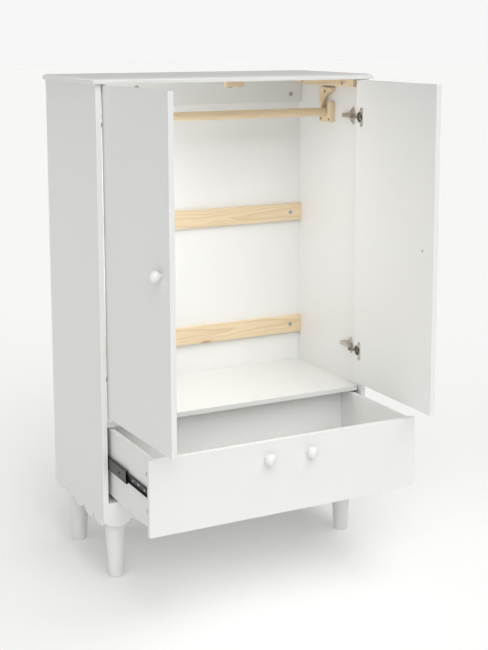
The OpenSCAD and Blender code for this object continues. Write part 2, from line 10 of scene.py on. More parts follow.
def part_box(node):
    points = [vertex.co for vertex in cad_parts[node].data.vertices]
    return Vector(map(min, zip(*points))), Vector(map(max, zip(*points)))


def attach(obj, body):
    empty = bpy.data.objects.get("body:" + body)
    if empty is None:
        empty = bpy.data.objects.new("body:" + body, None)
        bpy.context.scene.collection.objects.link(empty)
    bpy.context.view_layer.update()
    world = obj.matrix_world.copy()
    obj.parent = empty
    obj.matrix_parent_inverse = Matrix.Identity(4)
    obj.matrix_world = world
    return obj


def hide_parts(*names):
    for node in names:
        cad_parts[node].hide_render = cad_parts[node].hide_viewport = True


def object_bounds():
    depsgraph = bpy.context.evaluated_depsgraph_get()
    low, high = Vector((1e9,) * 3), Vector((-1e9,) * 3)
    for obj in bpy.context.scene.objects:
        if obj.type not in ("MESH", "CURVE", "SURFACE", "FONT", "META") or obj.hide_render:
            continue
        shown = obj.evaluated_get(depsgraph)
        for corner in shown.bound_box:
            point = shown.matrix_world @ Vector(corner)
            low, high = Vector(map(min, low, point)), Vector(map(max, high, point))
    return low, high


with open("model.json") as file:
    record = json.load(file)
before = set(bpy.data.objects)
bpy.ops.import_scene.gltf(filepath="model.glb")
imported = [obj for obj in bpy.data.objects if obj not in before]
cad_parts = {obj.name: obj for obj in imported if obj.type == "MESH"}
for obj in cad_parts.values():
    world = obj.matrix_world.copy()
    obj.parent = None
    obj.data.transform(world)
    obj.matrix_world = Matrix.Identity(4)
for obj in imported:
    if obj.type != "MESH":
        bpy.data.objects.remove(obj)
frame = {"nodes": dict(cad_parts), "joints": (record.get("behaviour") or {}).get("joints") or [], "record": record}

bl_info = {
    "name": "Child's wardrobe",
    "version": (1, 0, 0),
    "blender": (4, 5, 0),
    "location": "View3D > Sidebar > Wardrobe",
    "description": "Dresses the packed wardrobe with lacquered boards, pine, steel hardware and a studio",
    "category": "Object",
}

CAD_LOW, CAD_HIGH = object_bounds()
MM = 0.001
JOINTS = {joint["name"]: joint for joint in frame["joints"]}
MERGE = 2e-6
SHARP = math.radians(50)
SMOOTH = math.radians(38)


# ---------- sizes and colours ----------

def colour_property(name, description, value):
    return FloatVectorProperty(
        name=name, description=description, subtype="COLOR", size=3, min=0.0, max=1.0, default=value
    )


def length_property(name, description, millimetres):
    return FloatProperty(
        name=name, description=description, unit="LENGTH", min=0.0, default=millimetres * MM
    )


class WardrobeFinish(bpy.types.PropertyGroup):
    """Colours and edge sizes of the wardrobe's finishes"""

    lacquer: colour_property("Lacquer", "White satin lacquer on the boards", (0.80, 0.802, 0.788))
    panel: colour_property("Back panel", "Painted face of the thin back panel", (0.88, 0.878, 0.858))
    pine_light: colour_property("Pine, early wood", "Pale part of a growth ring", (0.86, 0.71, 0.495))
    pine_dark: colour_property("Pine, late wood", "Darker line of a growth ring", (0.71, 0.525, 0.305))
    knot: colour_property("Pine knot", "Heart of a knot", (0.36, 0.165, 0.065))
    nickel: colour_property("Nickel", "Plated steel of the hinges", (0.62, 0.585, 0.53))
    zinc: colour_property("Zinc", "Cam locks and screws", (0.56, 0.57, 0.575))
    slide_black: colour_property("Slide black", "Coated steel of the slides", (0.028, 0.028, 0.027))
    dark_screw: colour_property("Dark screw", "Bronzed screws in the brackets", (0.045, 0.038, 0.032))
    plastic: colour_property("Glide plastic", "Glides under the legs", (0.62, 0.62, 0.60))
    board_arris: length_property("Board arris", "Radius of a lacquered board's edge", 1.3)
    pine_arris: length_property("Pine arris", "Radius of a pine piece's edge", 1.0)
    steel_arris: length_property("Steel arris", "Radius of a pressed part's edge", 0.3)


class WardrobeStudio(bpy.types.PropertyGroup):
    """Camera stand, floor and lamps"""

    stand: FloatVectorProperty(
        name="Camera", description="Place of the camera", subtype="TRANSLATION", size=3,
        default=(-1.6935, -3.3553, 1.6151),
    )
    turn: FloatProperty(
        name="Turn", description="Turn of the camera to the right of straight ahead",
        subtype="ANGLE", default=math.radians(27.91),
    )
    tilt: FloatProperty(
        name="Tilt", description="Tilt of the camera below the horizon",
        subtype="ANGLE", default=math.radians(8.717),
    )
    lens: FloatProperty(
        name="Lens", description="Focal length for the frame's long side", unit="CAMERA",
        default=70.29,
    )
    shift: FloatVectorProperty(
        name="Shift", description="Rise and shift of the frame", size=2, default=(-0.032, -0.15)
    )
    backdrop: FloatProperty(
        name="Backdrop", description="Brightness of the backdrop", min=0.0, default=0.925
    )
    ambient: FloatProperty(
        name="Ambient", description="Light from all round the studio", min=0.0, default=0.12
    )
    floor: colour_property("Floor", "Painted studio floor", (0.80, 0.80, 0.79))
    glow: FloatProperty(
        name="Floor glow", description="Light that comes up through the floor", min=0.0,
        default=0.175,
    )
    key: FloatProperty(
        name="Key", description="Strength of the front lamp", min=0.0, default=1.68
    )
    side: FloatProperty(
        name="Side", description="Strength of the lamp at the left", min=0.0, default=0.6
    )
    overhead: FloatProperty(
        name="Overhead", description="Strength of the overhead lamp", min=0.0, default=1.27
    )
    reflector: FloatProperty(
        name="Reflector", description="Power that the card in the hanging space gives back",
        min=0.0, default=2.0,
    )
    softness: FloatProperty(
        name="Softness", description="Angle that a lamp's face fills", subtype="ANGLE",
        default=math.radians(48),
    )


# ---------- shaders ----------

class Wire:
    """A shader value that takes part in Python arithmetic; each step adds a Math node."""

    def __init__(self, finish, socket):
        self.finish = finish
        self.socket = socket

    def step(self, operation, *terms):
        return self.finish.add("ShaderNodeMath", {"operation": operation}, dict(enumerate(terms)))

    def __add__(self, other):
        return self.step("ADD", self, other)

    def __sub__(self, other):
        return self.step("SUBTRACT", self, other)

    def __rsub__(self, other):
        return self.step("SUBTRACT", other, self)

    def __mul__(self, other):
        return self.step("MULTIPLY", self, other)

    def __truediv__(self, other):
        return self.step("DIVIDE", self, other)

    def __pow__(self, other):
        return self.step("POWER", self, other)

    def fraction(self):
        return self.step("FRACT", self)

    __radd__ = __add__
    __rmul__ = __mul__


class Finish:
    """A material, and the nodes that are added to it."""

    def __init__(self, name, **constants):
        self.material = bpy.data.materials.new(name)
        self.material.use_nodes = True
        self.tree = self.material.node_tree
        self.shader = self.tree.nodes["Principled BSDF"]
        for socket, value in constants.items():
            self.shader.inputs[socket.replace("_", " ")].default_value = value

    def add(self, kind, settings=None, sockets=None, output=0):
        """Adds a node: its settings first, then its sockets' values or links."""
        node = self.tree.nodes.new(kind)
        for setting, value in (settings or {}).items():
            if setting == "stops":
                ramp = node.color_ramp.elements
                while len(ramp) < len(value):
                    ramp.new(1.0)
                for element, (place, colour) in zip(ramp, value):
                    element.position = place
                    element.color = (*colour, 1.0)
            else:
                setattr(node, setting, value)
        for socket, value in (sockets or {}).items():
            self.join(node.inputs[socket], value)
        return Wire(self, node.outputs[output])

    def join(self, socket, value):
        if isinstance(value, Wire):
            self.tree.links.new(value.socket, socket)
        elif socket.type == "RGBA":
            socket.default_value = (*value, 1.0)
        else:
            socket.default_value = value

    def feed(self, socket, value):
        self.join(self.shader.inputs[socket], value)

    def place(self):
        return self.add("ShaderNodeTexCoord", output="Object")

    def stretched(self, scale, offset=(0.0, 0.0, 0.0)):
        """The place on the object, scaled along each axis."""
        return self.add(
            "ShaderNodeMapping", {"vector_type": "POINT"},
            {"Vector": self.place(), "Scale": scale, "Location": offset},
        )

    def noise(self, scale, detail=3.0, roughness=0.5, vector=None):
        return self.add(
            "ShaderNodeTexNoise", {},
            {"Vector": vector or self.place(), "Scale": scale, "Detail": detail,
             "Roughness": roughness},
        )

    def blend(self, amount, first, second):
        """Colour between two colours."""
        return self.add(
            "ShaderNodeMix", {"data_type": "RGBA", "clamp_factor": True},
            {0: amount, 6: first, 7: second}, output=2,
        )

    def spread(self, value, low, high, new_low=0.0, new_high=1.0):
        """The value moved from one range to another, and held inside it."""
        return self.add(
            "ShaderNodeMapRange", {"clamp": True, "interpolation_type": "SMOOTHSTEP"},
            {"Value": value, "From Min": low, "From Max": high, "To Min": new_low,
             "To Max": new_high},
        )

    def bump(self, height, distance, strength=1.0, onto=None):
        sockets = {"Height": height, "Distance": distance, "Strength": strength}
        if onto:
            sockets["Normal"] = onto
        return self.add("ShaderNodeBump", {}, sockets)


def shaded(colour, factor):
    return tuple(min(1.0, part * factor) for part in colour)


def lacquer(name, colour, roughness=0.36):
    """Satin lacquer: faint orange peel, a slow waviness and slightly uneven film."""
    finish = Finish(name, Roughness=roughness, IOR=1.5)
    slow = finish.noise(3.1, 2.0)
    film = finish.noise(46.0, 3.0)
    peel = finish.noise(420.0, 2.0)
    dust = finish.noise(2600.0, 1.0)
    finish.feed("Base Color", finish.blend(
        slow * 0.6 + film * 0.4, shaded(colour, 0.985), shaded(colour, 1.012)
    ))
    finish.feed("Roughness", roughness - 0.05 + film * 0.06 + dust * 0.05)
    wave = finish.bump(slow, 0.0012, 0.25)
    finish.feed("Normal", finish.bump(peel + dust * 0.35, 0.00009, 0.45, wave))
    return finish.material


def fibreboard(name, colour):
    """Thin painted back panel, with the faint tooth of pressed fibres under the paint."""
    finish = Finish(name, IOR=1.48)
    cloud = finish.noise(7.0, 4.0)
    fibres = finish.noise(1.0, 3.0, 0.6, finish.stretched((520.0, 520.0, 160.0)))
    finish.feed("Base Color", finish.blend(cloud, shaded(colour, 0.975), shaded(colour, 1.01)))
    finish.feed("Roughness", 0.46 + fibres * 0.12)
    finish.feed("Normal", finish.bump(fibres, 0.00012, 0.5))
    return finish.material


def pine(name, look, along, across, through, middle, heart, tilt):
    """Sawn pine: growth rings round a tilted heart, fibres along the piece, and a few knots.

    along, across and through are axis numbers; middle is the piece's centre, in metres;
    heart is how far the heart lies beside and behind that centre.
    """
    finish = Finish(name, IOR=1.5)
    split = finish.add("ShaderNodeSeparateXYZ", {}, {0: finish.place()})
    ways = [Wire(finish, split.socket.node.outputs[axis]) for axis in range(3)]
    length = ways[along] - middle[along]
    width = ways[across] - middle[across]
    depth = ways[through] - middle[through]
    scale = [0.0, 0.0, 0.0]

    def lengthwise(along_scale, cross_scale, offset):
        scale[along], scale[across], scale[through] = along_scale, cross_scale, cross_scale
        return finish.stretched(tuple(scale), (offset, offset * 0.7, offset * 1.3))

    sway = finish.noise(1.0, 2.0, 0.5, lengthwise(2.2, 5.0, heart[1] * 31))
    ripple = finish.noise(1.0, 3.0, 0.5, lengthwise(9.0, 55.0, 3.7))
    cells = lengthwise(5.6, 15.0, heart[0] * 57 + 1.9)
    near = finish.add("ShaderNodeTexVoronoi", {"feature": "F1"}, {"Vector": cells, "Scale": 1.0})
    knot = finish.spread(near, 0.05, 0.16, 1.0, 0.0)
    round_knot = finish.spread(near, 0.04, 0.46, 1.0, 0.0)
    side = width + heart[0] + (sway - 0.5) * 0.05
    back = depth + heart[1] + length * tilt
    radius = (side * side + back * back) ** 0.5
    rings = radius / 0.0048 + ripple * 0.55 + round_knot * 2.4
    ring = rings.fraction()
    late = finish.spread(ring, 0.35, 0.9) * finish.spread(ring, 0.93, 1.0, 1.0, 0.0)
    fibres = finish.noise(1.0, 3.0, 0.65, lengthwise(26.0, 1500.0, 0.4))
    pores = finish.noise(1.0, 2.0, 0.5, lengthwise(120.0, 3600.0, 5.3))
    cloud = finish.noise(1.0, 2.0, 0.5, lengthwise(2.8, 17.0, 8.1))
    wood = finish.blend(late * 0.62 + cloud * 0.2, look.pine_light, look.pine_dark)
    wood = finish.blend(finish.spread(fibres, 0.42, 0.8) * 0.35, wood, shaded(look.pine_dark, 0.9))
    wood = finish.blend(round_knot * 0.3, wood, shaded(look.pine_dark, 0.92))
    finish.feed("Base Color", finish.blend(knot * 0.85, wood, look.knot))
    finish.feed("Roughness", 0.5 + fibres * 0.14 - late * 0.08)
    grain = late * 0.5 + fibres * 0.35 + pores * 0.3
    finish.feed("Normal", finish.bump(grain, 0.00012, 0.55))
    return finish.material


def plated(name, colour, roughness, mottle=0.12, metallic=1.0):
    """Plated or coated metal: faint drawing marks, mottled plating and handling dullness."""
    finish = Finish(name, Metallic=metallic, IOR=1.5)
    drawn = finish.noise(1.0, 3.0, 0.6, finish.stretched((900.0, 260.0, 2400.0)))
    spots = finish.noise(240.0, 3.0)
    tint = spots * 0.7 + drawn * 0.3
    finish.feed("Base Color", finish.blend(
        tint, shaded(colour, 1.0 - mottle), shaded(colour, 1.0 + mottle * 0.5)
    ))
    finish.feed("Roughness", roughness - 0.06 + tint * 0.16)
    finish.feed("Normal", finish.bump(drawn + spots * 0.4, 0.00003, 0.5))
    return finish.material


def moulded(name, colour):
    """Moulded plastic with a fine spark-eroded texture."""
    finish = Finish(name, IOR=1.46)
    grain = finish.noise(1900.0, 2.0)
    finish.feed("Base Color", finish.blend(grain, shaded(colour, 0.95), shaded(colour, 1.03)))
    finish.feed("Roughness", 0.45 + grain * 0.15)
    finish.feed("Normal", finish.bump(grain, 0.00005, 0.4))
    return finish.material


def kept_material(name, make, *values):
    """The material of that name, made on its first use."""
    return bpy.data.materials.get(name) or make(name, *values)


def finish_values():
    return bpy.context.scene.wardrobe_finish


def white():
    return kept_material("white_lacquer_satin", lacquer, finish_values().lacquer)


def nickel():
    return kept_material("nickel_plate", plated, finish_values().nickel, 0.27)


def zinc():
    return kept_material("zinc_plate", plated, finish_values().zinc, 0.36)


def slide_steel():
    return kept_material("black_coated_steel", plated, finish_values().slide_black, 0.34, 0.3, 0.0)


# near-black steel: bronzed screws in the brackets, and painted shade on the hinge links
def dark_steel():
    return kept_material("bronzed_steel", plated, finish_values().dark_screw, 0.38, 0.2, 0.8)


# ---------- shapes, in millimetres ----------

def circle(radius, steps=40, centre=(0.0, 0.0), start=0.0, turn=360.0):
    """Points round a circle, or an arc with both its ends where turn is under 360."""
    gaps = steps if turn == 360.0 else steps - 1
    return [
        (centre[0] + radius * math.cos(math.radians(start + turn * k / gaps)),
         centre[1] + radius * math.sin(math.radians(start + turn * k / gaps)))
        for k in range(steps)
    ]


def cross(reach, half):
    """Outline of a cross recess."""
    return [
        (reach, -half), (reach, half), (half, half), (half, reach), (-half, reach), (-half, half),
        (-reach, half), (-reach, -half), (-half, -half), (-half, -reach), (half, -reach),
        (half, -half),
    ]


def rounded(points, radius, steps=5):
    """The outline with its corners rounded, as far as its shorter sides allow."""
    result = []
    count = len(points)
    for k, corner in enumerate(points):
        corner = Vector(corner)
        before = Vector(points[k - 1]) - corner
        after = Vector(points[(k + 1) % count]) - corner
        cut = min(radius, before.length * 0.48, after.length * 0.48)
        start, end = corner + before.normalized() * cut, corner + after.normalized() * cut
        for s in range(steps + 1):
            t = s / steps
            result.append(tuple(start * (1 - t) ** 2 + corner * 2 * t * (1 - t) + end * t ** 2))
    return result


def rectangle(low, high, radius=0.0):
    points = [(low[0], low[1]), (high[0], low[1]), (high[0], high[1]), (low[0], high[1])]
    return rounded(points, radius) if radius else points


def stadium(length, width, steps=9):
    """A slot along x with round ends."""
    reach = (length - width) / 2
    return (circle(width / 2, steps, (reach, 0), -90, 180)
            + circle(width / 2, steps, (-reach, 0), 90, 180))


def axes(x_way, y_way, z_way, origin):
    """A placing whose own axes point along the three given ways."""
    placing = Matrix((x_way, y_way, z_way)).transposed().to_4x4()
    placing.translation = origin
    return placing


def facing(way, origin, roll=0.0):
    """A placing whose own z points along the given way."""
    placing = Vector(way).to_track_quat("Z", "Y").to_matrix().to_4x4()
    placing = placing @ Matrix.Rotation(math.radians(roll), 4, "Z")
    placing.translation = origin
    return placing


def mirrored(side):
    """The placing that takes a left-hand piece to the given side."""
    return Matrix.Diagonal((-side, 1, 1, 1))


def door_swing(side):
    """The placing that takes a left door's piece, drawn closed, to where that door stands."""
    joint = JOINTS["left_door_swing" if side < 0 else "right_door_swing"]
    pivot = Matrix.Translation(Vector(joint["pos_m"]) / MM)
    opened = Matrix.Rotation(math.radians(-joint["range_deg"][0]), 4, joint["axis"])
    return pivot @ opened @ pivot.inverted() @ mirrored(side)


class Solid:
    """Closed shells gathered in one mesh."""

    def __init__(self):
        self.mesh = bmesh.new()

    def corners(self, points, placing):
        return [self.mesh.verts.new(placing @ Vector(point)) for point in points]

    def lathe(self, profile, placing, steps=48):
        """Turns a closed run of (radius, height) points round the placing's z."""
        rings = []
        for radius, height in profile:
            if radius < 1e-6:
                rings.append(self.corners([(0, 0, height)], placing) * steps)
            else:
                rings.append(self.corners(
                    [(x, y, height) for x, y in circle(radius, steps)], placing
                ))
        closed = profile[0][0] > 1e-6 or profile[-1][0] > 1e-6
        pairs = list(zip(rings, rings[1:] + rings[:1])) if closed else list(zip(rings, rings[1:]))
        for lower, upper in pairs:
            for k in range(steps):
                after = (k + 1) % steps
                loop = [lower[k], lower[after], upper[after], upper[k]]
                loop = [v for n, v in enumerate(loop) if v not in loop[:n]]
                if len(loop) > 2:
                    self.mesh.faces.new(loop)
        return self

    def plate(self, outline, holes, low, high, placing):
        """A flat plate with holes, from its outline in x and y, between two heights."""
        caps = {low: [], high: []}
        for loop in [outline, *holes]:
            lower = self.corners([(x, y, low) for x, y in loop], placing)
            upper = self.corners([(x, y, high) for x, y in loop], placing)
            count = len(loop)
            for k in range(count):
                after = (k + 1) % count
                side = [lower[k], lower[after], upper[after], upper[k]]
                face = self.mesh.faces.new(side)
                for edge in face.edges:
                    if set(edge.verts) == {lower[k], lower[after]}:
                        caps[low].append(edge)
                    if set(edge.verts) == {upper[k], upper[after]}:
                        caps[high].append(edge)
        for edges in caps.values():
            bmesh.ops.triangle_fill(self.mesh, use_beauty=True, edges=edges)
        return self

    def block(self, low, high, placing=Matrix.Identity(4), radius=0.0):
        """A block between two corners, with its upright edges rounded."""
        return self.plate(
            rectangle(low, high, radius), [], low[2], high[2], placing
        )

    def ball(self, radius, centre, steps=16):
        profile = [
            (radius * math.sin(math.pi * k / (steps // 2)),
             -radius * math.cos(math.pi * k / (steps // 2)))
            for k in range(steps // 2 + 1)
        ]
        profile[0], profile[-1] = (0.0, -radius), (0.0, radius)
        return self.lathe(profile, Matrix.Translation(centre), steps)

    def pan_head(self, radius, height, placing, shank=None):
        """A domed screw head with a cross recess, standing up from z = 0, on its shank."""
        flat = radius * 0.62
        deep = height * 0.6
        dome = [
            (flat + (radius - flat) * math.sin(math.radians(a)),
             height * (0.35 + 0.65 * math.cos(math.radians(a))))
            for a in (0, 22, 45, 67, 90)
        ]
        self.lathe([(flat, height - deep), *dome, (radius, 0), (flat * 0.9, 0)], placing, 28)
        self.plate(circle(flat, 28), [cross(flat * 0.86, radius * 0.12)], height - deep, height,
                   placing)
        self.plate(circle(flat, 28), [], 0.0, height - deep, placing)
        if shank:
            thick, length = shank
            self.lathe([(0, 0.1), (thick, 0.1), (thick, -length + thick), (0, -length)], placing, 16)
        return self

    def piece(self, name, material, body, slot, *nodes, arris=0.0, smooth=SMOOTH):
        """Turns the gathered shells into a piece that rides on a body and stands for CAD nodes."""
        bmesh.ops.recalc_face_normals(self.mesh, faces=self.mesh.faces)
        self.mesh.transform(Matrix.Scale(MM, 4))
        return finished(self.mesh, name, material, body, slot, *nodes, arris=arris, smooth=smooth)


def finished(shape, name, material, body, slot, *nodes, arris=0.0, smooth=SMOOTH):
    """Makes the piece itself from a mesh in metres."""
    mesh = bpy.data.meshes.new(name)
    shape.to_mesh(mesh)
    shape.free()
    piece = bpy.data.objects.new(name, mesh)
    bpy.context.scene.collection.objects.link(piece)
    mesh.materials.append(material)
    mesh.shade_smooth()
    mesh.set_sharp_from_angle(angle=smooth)
    if arris:
        bevel = piece.modifiers.new("arris", "BEVEL")
        bevel.width, bevel.segments = arris, 2
        bevel.limit_method, bevel.angle_limit = "ANGLE", math.radians(40)
        bevel.harden_normals = True
    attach(piece, body)
    if nodes:
        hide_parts(*nodes)
    return piece


def body_of(node):
    return next(
        name for name, members in frame["record"]["behaviour"]["bodies"].items() if node in members
    )


def cad_shape(node):
    """The CAD node's solids as one mesh whose flat faces are whole."""
    shape = bmesh.new()
    shape.from_mesh(frame["nodes"][node].data)
    bmesh.ops.remove_doubles(shape, verts=shape.verts, dist=MERGE)
    bmesh.ops.dissolve_limit(
        shape, angle_limit=math.radians(0.6), verts=shape.verts, edges=shape.edges
    )
    return shape


def gathered(items, neighbours):
    """Splits mesh elements into connected groups."""
    left, groups = set(items), []
    while left:
        reached = [left.pop()]
        for item in reached:
            found = neighbours(item) & left
            left -= found
            reached.extend(found)
        groups.append(reached)
    return groups


def reach(points):
    low = Vector(min(p[k] for p in points) for k in range(3))
    high = Vector(max(p[k] for p in points) for k in range(3))
    return low, high


def solids(node, undo=None):
    """Low and high corner, in millimetres, of each solid in a CAD node, front ones first.

    undo is a placing to take back first, such as a door's swing.
    """
    shape = cad_shape(node)
    shape.transform(Matrix.Scale(1 / MM, 4))
    if undo:
        shape.transform(undo.inverted())
    groups = gathered(
        shape.verts, lambda vert: {edge.other_vert(vert) for edge in vert.link_edges}
    )
    boxes = [reach([vert.co for vert in group]) for group in groups]
    shape.free()
    return sorted(boxes, key=lambda box: tuple(round(v, 2) for v in (*box[0].zyx, *box[1].zyx)))


def softened(node, name, material, slot, arris, rim=0.03, segments=3):
    """A copy of a CAD board with its long edges rounded; small bores keep their crisp rims."""
    shape = cad_shape(node)
    sharp = [
        edge for edge in shape.edges
        if len(edge.link_faces) == 2 and edge.calc_face_angle(0.0) > SHARP
    ]
    members = set(sharp)
    groups = gathered(
        sharp, lambda edge: {e for v in edge.verts for e in v.link_edges if e in members}
    )
    outer = []
    for group in groups:
        low, high = reach([vert.co for edge in group for vert in edge.verts])
        if (high - low).length > rim:
            outer.extend(group)
    bmesh.ops.bevel(
        shape, geom=outer, offset=arris, offset_type="OFFSET", segments=segments, profile=0.5,
        affect="EDGES", clamp_overlap=False, loop_slide=True,
    )
    piece = finished(shape, name, material, body_of(node), slot, node)
    keep = piece.modifiers.new("flat_faces", "WEIGHTED_NORMAL")
    keep.keep_sharp, keep.weight = True, 50
    return piece


# ---------- the pieces ----------

class WARDROBE_OT_boards(bpy.types.Operator):
    """Lacquered boards of the carcass, with softened edges"""

    bl_idname = "wardrobe.boards"
    bl_label = "Carcass boards"

    def execute(self, context):
        look = finish_values()
        for node in ("side_left", "side_right", "top", "floor_shelf", "base_board", "skirt_front",
                     "back_rail_top"):
            softened(node, node + "_lacquered", white(), "white_lacquer", look.board_arris)
        return {"FINISHED"}


class WARDROBE_OT_back_panel(bpy.types.Operator):
    """Thin back panel and the pins that hold it"""

    bl_idname = "wardrobe.back_panel"
    bl_label = "Back panel"

    def execute(self, context):
        look = finish_values()
        board = kept_material("painted_fibreboard", fibreboard, look.panel)
        softened("back_panel", "back_panel_painted", board, "white_lacquer", 0.3 * MM)
        low, high = (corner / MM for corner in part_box("back_panel"))
        inset, pitch = 8.0, 118.0
        pins = Solid()
        across = round((high.x - low.x - 2 * inset) / pitch)
        up = round((high.z - low.z - 2 * inset) / pitch)
        spots = [(low.x + inset + (high.x - low.x - 2 * inset) * k / across, z)
                 for k in range(across + 1) for z in (low.z + inset, high.z - inset)]
        spots += [(x, low.z + inset + (high.z - low.z - 2 * inset) * k / up)
                  for k in range(1, up) for x in (low.x + inset, high.x - inset)]
        for x, z in spots:
            pins.lathe(
                [(0, 0.9), (1.2, 0.8), (2.1, 0.45), (2.3, 0.1), (2.0, -0.1), (0.7, -0.4),
                 (0.7, -3.0), (0, -3.4)],
                facing((0, 1, 0), (x, high.y, z)), 16,
            )
        pins.piece("back_panel_pins", zinc(), "carcass", "zinc")
        return {"FINISHED"}


class WARDROBE_OT_pine(bpy.types.Operator):
    """Pine slats, cleats, door stop, brackets and hanging rail"""

    bl_idname = "wardrobe.pine"
    bl_label = "Pine pieces"

    def execute(self, context):
        look = finish_values()
        # node, grain along, across, through, heart beside and behind in metres, tilt of the heart
        timber = [
            ("back_slat_upper", 0, 2, 1, (0.004, -0.031), 0.014),
            ("back_slat_lower", 0, 2, 1, (-0.010, -0.026), -0.017),
            ("cleat_left", 1, 2, 0, (0.006, 0.030), 0.02),
            ("cleat_right", 1, 2, 0, (-0.004, -0.027), 0.02),
            ("door_stop", 0, 1, 2, (0.012, 0.024), 0.03),
            ("bracket_left", 2, 1, 0, (0.018, 0.040), 0.03),
            ("bracket_right", 2, 1, 0, (-0.016, -0.042), 0.04),
            ("hanging_rail", 0, 1, 2, (0.012, 0.016), 0.008),
        ]
        for node, along, across, through, heart, tilt in timber:
            low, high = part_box(node)
            wood = pine("pine_" + node, look, along, across, through, (low + high) / 2, heart, tilt)
            if node == "hanging_rail":
                self.rail(low / MM, high / MM, wood)
            else:
                softened(node, node + "_pine", wood, "pine", look.pine_arris)
        return {"FINISHED"}

    def rail(self, low, high, wood):
        radius, length, chamfer = (high.z - low.z) / 2, high.x - low.x, 1.2
        middle = (low + high) / 2
        Solid().lathe(
            [(0, 0), (radius - chamfer, 0), (radius - 0.3, 0.4), (radius, chamfer),
             (radius, length - chamfer), (radius - 0.3, length - 0.4), (radius - chamfer, length),
             (0, length)],
            facing((1, 0, 0), (low.x, middle.y, middle.z)), 96,
        ).piece("hanging_rail_pine", wood, "carcass", "pine", "hanging_rail")


class WARDROBE_OT_doors(bpy.types.Operator):
    """Both doors"""

    bl_idname = "wardrobe.doors"
    bl_label = "Doors"

    def execute(self, context):
        for node in ("door_left", "door_right"):
            softened(node, node + "_lacquered", white(), "white_lacquer",
                     finish_values().board_arris, rim=0.06)
        return {"FINISHED"}


class WARDROBE_OT_drawer(bpy.types.Operator):
    """The drawer's boards"""

    bl_idname = "wardrobe.drawer"
    bl_label = "Drawer"

    def execute(self, context):
        for node in ("drawer_front", "drawer_side_left", "drawer_side_right", "drawer_back",
                     "drawer_bottom"):
            softened(node, node + "_lacquered", white(), "white_lacquer",
                     finish_values().board_arris)
        return {"FINISHED"}


class WARDROBE_OT_legs(bpy.types.Operator):
    """Turned legs, their glides and the bolts that hold them"""

    bl_idname = "wardrobe.legs"
    bl_label = "Legs"

    def execute(self, context):
        glides, bolts = Solid(), Solid()
        under = min(box[0].z for box in solids("base_board"))
        for end in ("front_left", "front_right", "rear_left", "rear_right"):
            low, high = solids("leg_" + end)[0]
            middle = (low + high) / 2
            top_r = (high.x - low.x) / 2
            foot_r = top_r * 0.714
            shoulder = low.z + (high.z - low.z) * 0.698
            Solid().lathe(
                [(0, low.z), (foot_r - 2.6, low.z), (foot_r - 1.1, low.z + 0.5),
                 (foot_r - 0.2, low.z + 1.9), (foot_r + 0.2, low.z + 4),
                 (top_r - 0.25, shoulder - 8), (top_r, shoulder + 2), (top_r, under - 1.2),
                 (top_r - 1.2, under), (0, under)],
                Matrix.Translation((middle.x, middle.y, 0)), 96,
            ).piece(f"leg_{end}_turned", white(), "carcass", "white_lacquer", "leg_" + end)
        for low, high in solids("leg_glides"):
            middle = (low + high) / 2
            radius = (high.x - low.x) / 2
            glides.lathe(
                [(0, low.z), (radius - 2.2, low.z), (radius - 0.6, low.z + 0.6),
                 (radius, low.z + 1.8), (radius, high.z), (0, high.z)],
                Matrix.Translation((middle.x, middle.y, 0)), 48,
            )
        for low, high in solids("leg_bolts"):
            middle = (low + high) / 2
            radius = (high.x - low.x) / 2
            placing = Matrix.Translation((middle.x, middle.y, high.z - 3))
            bolts.lathe(
                [(0, -0.2), (radius + 2.5, -0.2), (radius + 2.5, 0.9), (0, 0.9)], placing, 36
            )
            bolts.plate(circle(radius * 0.86, 6), [circle(2.6, 6)], 0.9, 3.0, placing)
            bolts.lathe([(0, low.z - high.z + 3), (4, low.z - high.z + 4), (4, 0.5), (0, 0.5)],
                        placing, 24)
        plastic = kept_material("glide_plastic", moulded, finish_values().plastic)
        glides.piece("leg_glides_moulded", plastic, "carcass", "glide_plastic", "leg_glides")
        bolts.piece("leg_bolts_steel", zinc(), "carcass", "zinc", "leg_bolts", arris=0.2 * MM)
        return {"FINISHED"}


class WARDROBE_OT_knobs(bpy.types.Operator):
    """Round lacquered knobs of the doors and the drawer"""

    bl_idname = "wardrobe.knobs"
    bl_label = "Knobs"

    def execute(self, context):
        for side, end in ((-1, "left"), (1, "right")):
            swing = door_swing(side)
            low, high = solids("knob_door_" + end, swing)[0]
            self.knob([(low, high)], swing, "knob_door_" + end, end + "_door")
            self.screws(solids("knob_screw_" + end, swing), swing, "knob_screw_" + end,
                        end + "_door")
        self.knob(solids("drawer_knobs"), Matrix.Identity(4), "drawer_knobs", "drawer")
        self.screws(solids("drawer_knob_screws"), Matrix.Identity(4), "drawer_knob_screws",
                    "drawer")
        return {"FINISHED"}

    def knob(self, boxes, swing, node, body):
        turned = Solid()
        for low, high in boxes:
            middle = (low + high) / 2
            radius = (high.x - low.x) / 2
            stand = high.y - low.y - radius + 0.4
            profile = [(0, 0), (8.6, 0), (8.9, 0.4), (8.6, 1.2), (8.2, 2.4)]
            start = math.degrees(math.asin(8.6 / radius))
            profile += [
                (radius * math.sin(math.radians(a)), stand - radius * math.cos(math.radians(a)))
                for a in [start + (172 - start) * k / 26 for k in range(27)]
            ]
            profile.append((0, profile[-1][1]))
            turned.lathe(profile, swing @ facing((0, -1, 0), (middle.x, high.y, middle.z)), 72)
        turned.piece(node + "_turned", white(), body, "white_lacquer", node)

    def screws(self, boxes, swing, node, body):
        heads = Solid()
        for low, high in boxes:
            middle = (low + high) / 2
            length = high.y - low.y
            heads.pan_head(
                4.0, 2.3, swing @ facing((0, 1, 0), (middle.x, high.y - 2.4, middle.z), 12),
                (2.0, length - 2.4),
            )
        heads.piece(node + "_steel", zinc(), body, "zinc", node)


